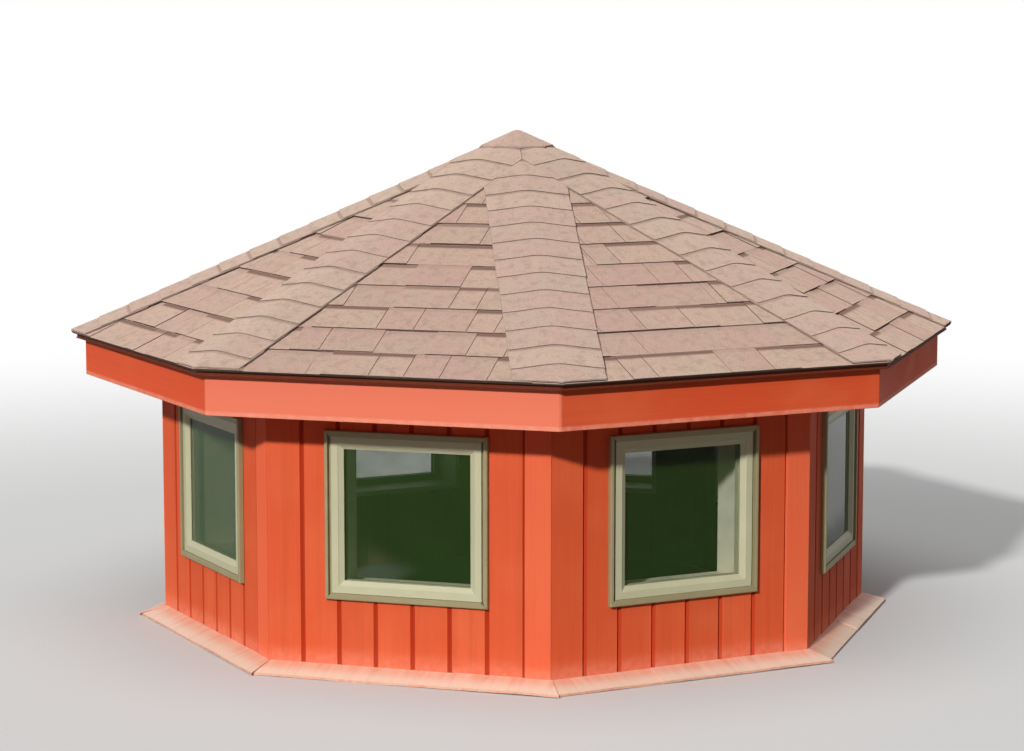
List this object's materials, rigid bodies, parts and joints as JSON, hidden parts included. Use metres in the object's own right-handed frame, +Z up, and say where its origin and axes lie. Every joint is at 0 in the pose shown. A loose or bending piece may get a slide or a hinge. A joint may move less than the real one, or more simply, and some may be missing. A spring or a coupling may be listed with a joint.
{
  "type": "octagonal roof cupola",
  "caption": "Low octagonal timber cupola: boarded walls with a square fixed window in each, flashed foot, wide eaves and a hipped shingle roof.",
  "frame": {"origin": "on the cupola's centre line, at the level line where its foot meets the roof", "axes": "+Z up; -Y is the side of the front wall; +X to its right, seen from the front"},
  "size_m": [3.056, 3.056, 1.8138],
  "materials": {
    "timber": "sawn softwood",
    "flashing": "faded coral paint",
    "wall_paint": "satin red paint on vertical boards",
    "corner_paint": "satin red paint",
    "casing_paint": "satin tan paint",
    "sash_paint": "satin pale grey-green paint",
    "window_glass": "clear",
    "jamb_paint": "satin cream paint",
    "lining_stain": "dark stained boards",
    "eave_paint": "satin red paint",
    "drip_metal": "red-brown baked paint",
    "deck_wood": "unpainted boards",
    "shingle": "mineral granules on asphalt, matt",
    "cap_shingle": "mineral granules on asphalt, matt"
  },
  "bodies": {
    "root": {"sill": "timber", "base_flashing": "flashing", "wall_front": "wall_paint", "wall_front_right": "wall_paint", "wall_right": "wall_paint", "wall_back_right": "wall_paint", "wall_back": "wall_paint", "wall_back_left": "wall_paint", "wall_left": "wall_paint", "wall_front_left": "wall_paint", "corner_boards": "corner_paint", "window_casings": "casing_paint", "sash_front": "sash_paint", "sash_front_right": "sash_paint", "sash_right": "sash_paint", "sash_back_right": "sash_paint", "sash_back": "sash_paint", "sash_back_left": "sash_paint", "sash_left": "sash_paint", "sash_front_left": "sash_paint", "glass_front": "window_glass", "glass_front_right": "window_glass", "glass_right": "window_glass", "glass_back_right": "window_glass", "glass_back": "window_glass", "glass_back_left": "window_glass", "glass_left": "window_glass", "glass_front_left": "window_glass", "jamb_liners": "jamb_paint", "inner_lining": "lining_stain", "wall_plate": "timber", "soffit": "eave_paint", "fascia": "eave_paint", "drip_edge": "drip_metal", "hip_rafters": "timber", "eave_blocking": "timber", "rafter_hub": "timber", "roof_deck": "deck_wood", "shingles": "shingle", "hip_caps": "cap_shingle", "crown_cap": "cap_shingle"}
  },
  "joints": []
}
